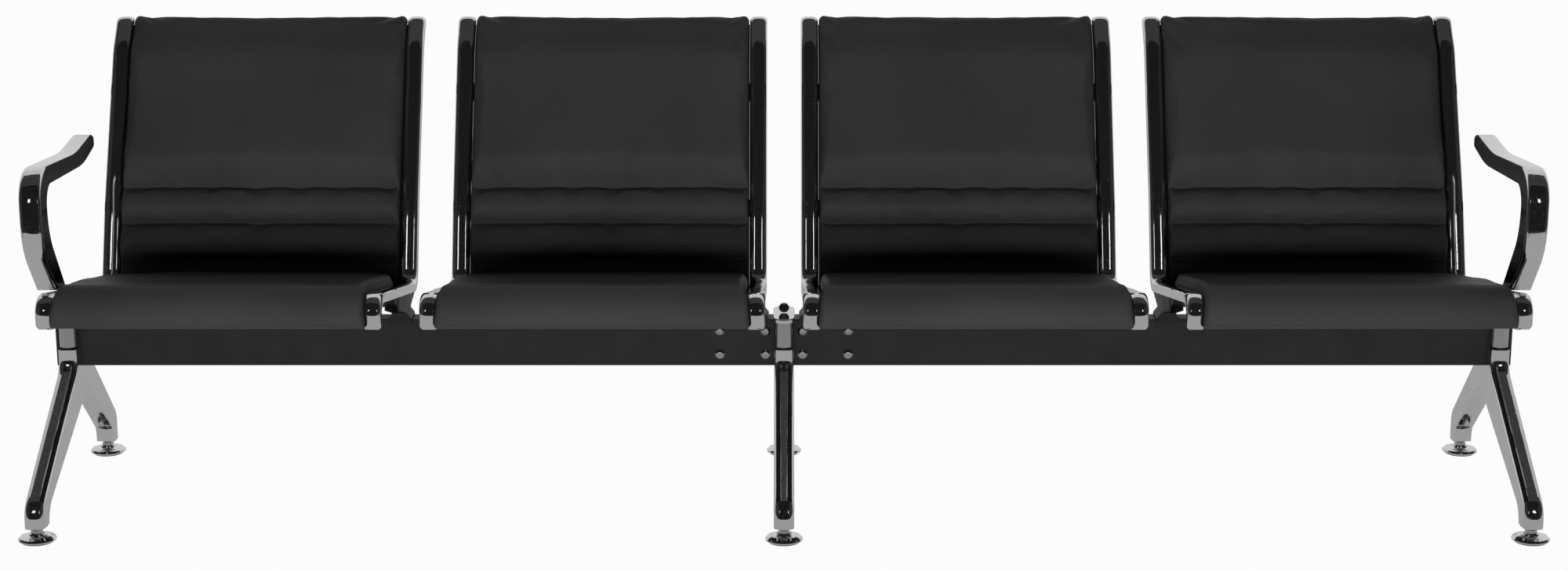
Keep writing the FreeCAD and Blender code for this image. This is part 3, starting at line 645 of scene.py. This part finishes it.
def finish_pad(obj, kind, number):
    blow_up(obj, kind, number % 2 == 0)
    modifier = obj.modifiers.new("round", "SUBSURF")
    modifier.levels = 1
    modifier.render_levels = 1
    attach(obj, "frame")
    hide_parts(f"seat_{number}_{kind}_pad")


def make_pads():
    for n, x in enumerate(seat_x, 1):
        marks = [0.0, SEAT_START * 0.5, SEAT_START, SEAT_END]
        seat = pad_mesh(f"seat_cushion_{n}", x, seat_outline, seat_height, seat_flare, marks, n * 3.7)
        finish_pad(seat, "seat", n)
        marks = back_seams() + [BACK_START, LENGTH]
        back = pad_mesh(f"back_cushion_{n}", x, back_outline, back_height, back_flare, marks, n * 5.3)
        finish_pad(back, "back", n)


# Side frames, a channel swept along the seat line with a rounded nose at each end
def frame_section(s):
    near = s < LENGTH / 2
    end = s if near else LENGTH - s
    nose = tip_nose if near else top_nose
    share = math.sqrt(max(nose_least, 1.0 - (1.0 - min(end / nose, 1.0)) ** 2))
    sink = tip_sink * (1.0 - min(s / tip_reach, 1.0)) ** 2
    hollow = smooth_step((end - end_wall) / hollow_run)
    half = frame_width / 2

    def place(u, h):
        middle = -frame_depth / 2
        return u * (0.6 + 0.4 * share), middle + (h - middle) * share - sink

    def arch(reach, top, count):
        turns = [math.pi * k / (count - 1) for k in range(count)]
        for turn in turns:
            c = math.copysign(abs(math.cos(turn)) ** (2 / frame_power), math.cos(turn))
            d = abs(math.sin(turn)) ** (2 / frame_power)
            yield reach * c, -frame_rounding + (frame_rounding + top) * d

    outer = [(half, -frame_depth), *arch(half, 0.0, 21), (-half, -frame_depth)]
    inner = [(half - frame_wall, -frame_depth), *arch(half - frame_wall, -frame_wall, 9)]
    inner.append((frame_wall - half, -frame_depth))
    inner = [(u, -frame_depth + (h + frame_depth) * hollow) for u, h in reversed(inner)]
    return [place(u, h) for u, h in outer + inner]


def boss_corners(x, s):
    half = frame_width / 2 - frame_wall / 2
    verts = []
    for ds in (-boss_half, boss_half):
        for u in (-half, half):
            for h in (-frame_depth, -frame_wall / 2):
                verts.append((x + u, *at(s + ds, h)))
    return verts


def side_frame_mesh(name, x, finish):
    rows = [tip_nose * k / nose_rings for k in range(nose_rings)]
    turns = [0.0, SEAT_START, SEAT_END, BACK_START, LENGTH]
    rows += stations(tip_nose, LENGTH - top_nose, turns, 0.012, 0.003, 0.05)
    rows += [LENGTH - top_nose * (top_rings - 1 - k) / top_rings for k in range(top_rings)]
    verts = []
    for s in rows:
        verts += [(x + u, *at(s, h)) for u, h in frame_section(s)]
    ring = len(frame_section(0.0))
    faces = [tuple(range(ring)), tuple(reversed(range(len(verts) - ring, len(verts))))]
    for i in range(len(rows) - 1):
        for k in range(ring):
            a = i * ring + k
            b = i * ring + (k + 1) % ring
            faces.append((b, a, a + ring, b + ring))
    for s in boss_stations():
        first = len(verts)
        verts += boss_corners(x, s)
        for quad in ((0, 1, 3, 2), (4, 6, 7, 5), (0, 4, 5, 1), (2, 3, 7, 6), (0, 2, 6, 4), (1, 5, 7, 3)):
            faces.append(tuple(first + k for k in quad))
    obj = new_object(name, verts, faces, finish)
    obj.data.set_sharp_from_angle(angle=math.radians(40))
    return obj


def boss_stations():
    return [
        seat_rail_front,
        seat_rail_rear,
        BACK_START + back_rail_lower,
        BACK_START + back_rail_upper,
    ]


def make_side_frames():
    for n, x in enumerate(seat_x, 1):
        for side, name in ((-1, "left"), (1, "right")):
            finish = CROWNED["side_frame_" + name]
            obj = side_frame_mesh(f"side_channel_{n}_{name}", x + side * frame_spacing / 2, finish)
            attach(obj, "frame")
            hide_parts(f"seat_{n}_side_frame_{name}")


# Perforated shell sheets, square cells with a round hole, solid along the borders
def shell_mesh(name, x):
    border = sheet_border
    across = int((2 * (shell_half - border)) / hole_pitch)
    along = int((LENGTH - 2 * shell_end_gap - 2 * border) / hole_pitch)
    start_u = -across * hole_pitch / 2
    start_s = (LENGTH - along * hole_pitch) / 2
    index = {}
    verts = []
    faces = []

    def vert(u, s, level):
        key = (round(u, 6), round(s, 6), level)
        if key not in index:
            y, z = at(s, shell_top - level * shell_thickness)
            index[key] = len(verts)
            verts.append((x + u, y, z))
        return index[key]

    def quad(points):
        faces.append(tuple(vert(u, s, 0) for u, s in points))
        faces.append(tuple(vert(u, s, 1) for u, s in reversed(points)))

    sides = hole_sides
    for i in range(across):
        for j in range(along):
            cu = start_u + (i + 0.5) * hole_pitch
            cs = start_s + (j + 0.5) * hole_pitch
            ring = []
            rim = []
            for k in range(sides):
                angle = 2 * math.pi * k / sides
                c, d = math.cos(angle), math.sin(angle)
                grow = hole_pitch / 2 / max(abs(c), abs(d))
                ring.append((cu + hole_radius * c, cs + hole_radius * d))
                rim.append((cu + grow * c, cs + grow * d))
            for k in range(sides):
                m = (k + 1) % sides
                quad([ring[k], rim[k], rim[m], ring[m]])
                faces.append((vert(*ring[k], 0), vert(*ring[m], 0), vert(*ring[m], 1), vert(*ring[k], 1)))
    low_u, high_u = start_u, start_u + across * hole_pitch
    low_s, high_s = start_s, start_s + along * hole_pitch
    us = [low_u + hole_pitch / 2 * i for i in range(2 * across + 1)]
    ss = [low_s + hole_pitch / 2 * i for i in range(2 * along + 1)]
    for a, b in zip(ss, ss[1:]):
        quad([(-shell_half, a), (low_u, a), (low_u, b), (-shell_half, b)])
        quad([(high_u, a), (shell_half, a), (shell_half, b), (high_u, b)])
    for s0, s1 in ((shell_end_gap, low_s), (high_s, LENGTH - shell_end_gap)):
        for a, b in zip(us, us[1:]):
            quad([(a, s0), (b, s0), (b, s1), (a, s1)])
        quad([(-shell_half, s0), (low_u, s0), (low_u, s1), (-shell_half, s1)])
        quad([(high_u, s0), (shell_half, s0), (shell_half, s1), (high_u, s1)])
    return new_object(name, verts, faces, MATERIALS["shell_paint"], smooth=False)


def make_shells():
    for n, x in enumerate(seat_x, 1):
        sheet = shell_mesh(f"perforated_shell_{n}", x)
        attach(sheet, "frame")
        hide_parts(f"seat_{n}_shell")


# Stage, light and camera
def emission(name, strength):
    made = bpy.data.materials.new(name)
    made.use_nodes = True
    tree = made.node_tree
    tree.nodes.clear()
    out = node(tree, "ShaderNodeOutputMaterial")
    glow = node(tree, "ShaderNodeEmission")
    glow.inputs["Strength"].default_value = strength
    tree.links.new(glow.outputs["Emission"], out.inputs["Surface"])
    return made


def card(name, corners, strength):
    obj = new_object(name, corners, [(0, 1, 2, 3)], emission(name, strength), smooth=False)
    obj.visible_camera = False
    obj.visible_diffuse = False
    obj.visible_shadow = False
    obj.visible_transmission = False
    return obj


# The camera sees a white floor with a trace of shadow, and polished metal sees it grey
def floor():
    made = bpy.data.materials.new("floor_white")
    made.use_nodes = True
    tree = made.node_tree
    tree.nodes.clear()
    out = node(tree, "ShaderNodeOutputMaterial")
    matt = node(tree, "ShaderNodeBsdfDiffuse")
    matt.inputs["Color"].default_value = (0.9, 0.9, 0.9, 1.0)
    white = node(tree, "ShaderNodeEmission")
    grey = node(tree, "ShaderNodeEmission")
    grey.inputs["Strength"].default_value = 0.4
    path = node(tree, "ShaderNodeLightPath")
    share = node(tree, "ShaderNodeMath", operation="MULTIPLY")
    share.inputs[1].default_value = 0.97
    seen = node(tree, "ShaderNodeMixShader")
    mirrored = node(tree, "ShaderNodeMixShader")
    tree.links.new(path.outputs["Is Camera Ray"], share.inputs[0])
    tree.links.new(share.outputs[0], seen.inputs["Fac"])
    tree.links.new(matt.outputs[0], seen.inputs[1])
    tree.links.new(white.outputs[0], seen.inputs[2])
    tree.links.new(path.outputs["Is Glossy Ray"], mirrored.inputs["Fac"])
    tree.links.new(seen.outputs[0], mirrored.inputs[1])
    tree.links.new(grey.outputs[0], mirrored.inputs[2])
    tree.links.new(mirrored.outputs[0], out.inputs["Surface"])
    reach = 14.0
    corners = [(-reach, -reach, 0.0), (reach, -reach, 0.0), (reach, reach, 0.0), (-reach, reach, 0.0)]
    obj = new_object("floor", corners, [(0, 1, 2, 3)], made, smooth=False)


def world():
    scene = bpy.context.scene
    scene.world = bpy.data.worlds.new("studio")
    scene.world.use_nodes = True
    tree = scene.world.node_tree
    tree.nodes.clear()
    out = node(tree, "ShaderNodeOutputWorld")
    background = node(tree, "ShaderNodeBackground")
    path = node(tree, "ShaderNodeLightPath")
    seen = node(tree, "ShaderNodeMath", operation="MAXIMUM")
    tree.links.new(path.outputs["Is Camera Ray"], seen.inputs[0])
    tree.links.new(path.outputs["Is Glossy Ray"], seen.inputs[1])
    seen_all = node(tree, "ShaderNodeMath", operation="MAXIMUM")
    tree.links.new(seen.outputs[0], seen_all.inputs[0])
    tree.links.new(path.outputs["Is Transmission Ray"], seen_all.inputs[1])
    strength = node(tree, "ShaderNodeMapRange")
    strength.inputs["To Min"].default_value = 0.05
    strength.inputs["To Max"].default_value = 1.0
    tree.links.new(seen_all.outputs[0], strength.inputs["Value"])
    tree.links.new(strength.outputs["Result"], background.inputs["Strength"])
    tree.links.new(background.outputs[0], out.inputs["Surface"])


def area_light(name, place, target, size, power):
    data = bpy.data.lights.new(name, "AREA")
    data.shape = "RECTANGLE"
    data.size = size[0]
    data.size_y = size[1]
    data.energy = power
    obj = bpy.data.objects.new(name, data)
    obj.location = place
    obj.rotation_euler = (Vector(target) - Vector(place)).to_track_quat("-Z", "Y").to_euler()
    bpy.context.scene.collection.objects.link(obj)
    return obj


# A room that only polished surfaces see: dark in front and overhead, lighter behind
room = 6.5
room_height = 6.0
ceiling_front = -1.5
side_light_from = 2.5
ceiling_end = 2.6


def upright(name, x0, x1, y0, y1, z0, z1, strength):
    card(name, [(x0, y0, z0), (x1, y1, z0), (x1, y1, z1), (x0, y0, z1)], strength)


def level(name, x0, x1, y0, y1, z, strength):
    card(name, [(x0, y0, z), (x1, y0, z), (x1, y1, z), (x0, y1, z)], strength)


def mirrored_room():
    upright("front_dark", -room, room, -room, -room, 0.02, room_height, 0.012)
    level("ceiling_front", -room, room, -room, ceiling_front, room_height, 0.012)
    level("ceiling_dark", -room, room, ceiling_front, ceiling_end, room_height, 0.045)
    level("ceiling_rear", -room, room, ceiling_end, room, room_height, 0.6)
    upright("rear_light", -room, room, room, room, 0.02, room_height, 0.68)
    for side in (-1, 1):
        name = "left" if side < 0 else "right"
        x = side * room
        upright("side_dark_" + name, x, x, -room, side_light_from, 0.02, room_height, 0.03)
        upright("side_light_" + name, x, x, side_light_from, room, 0.02, room_height, 0.5)
        x0, x1 = sorted((side * 2.2, side * 2.75))
        upright("softbox_" + name, x0, x1, -4.6, -4.6, 2.3, 3.3, 1.6)


def stage_and_light():
    floor()
    world()
    mirrored_room()
    bounce = area_light("floor_bounce", (0.0, -1.7, 0.03), (0.0, -0.6, 1.2), (5.0, 1.3), 35.0)
    front = area_light("low_front", (0.0, -4.2, 0.55), (0.0, 0.2, 0.45), (5.0, 0.7), 170.0)
    top = area_light("top", (0.0, 0.8, 3.4), (0.0, 0.1, 0.0), (4.0, 1.0), 2.0)
    for light in (bounce, front, top):
        light.visible_glossy = False
        light.visible_camera = False


def camera():
    data = bpy.data.cameras.new("camera")
    data.sensor_width = 36.0
    data.lens = 64.8
    data.clip_end = 60.0
    obj = bpy.data.objects.new("camera", data)
    obj.location = (0.0, beam_y - 4.617, 1.459)
    obj.rotation_euler = (math.radians(90.0 - 13.5), 0.0, 0.0)
    bpy.context.scene.collection.objects.link(obj)
    bpy.context.scene.camera = obj


dress_nodes()
make_pads()
make_side_frames()
make_shells()
stage_and_light()
camera()
bpy.context.scene.view_settings.view_transform = "Standard"
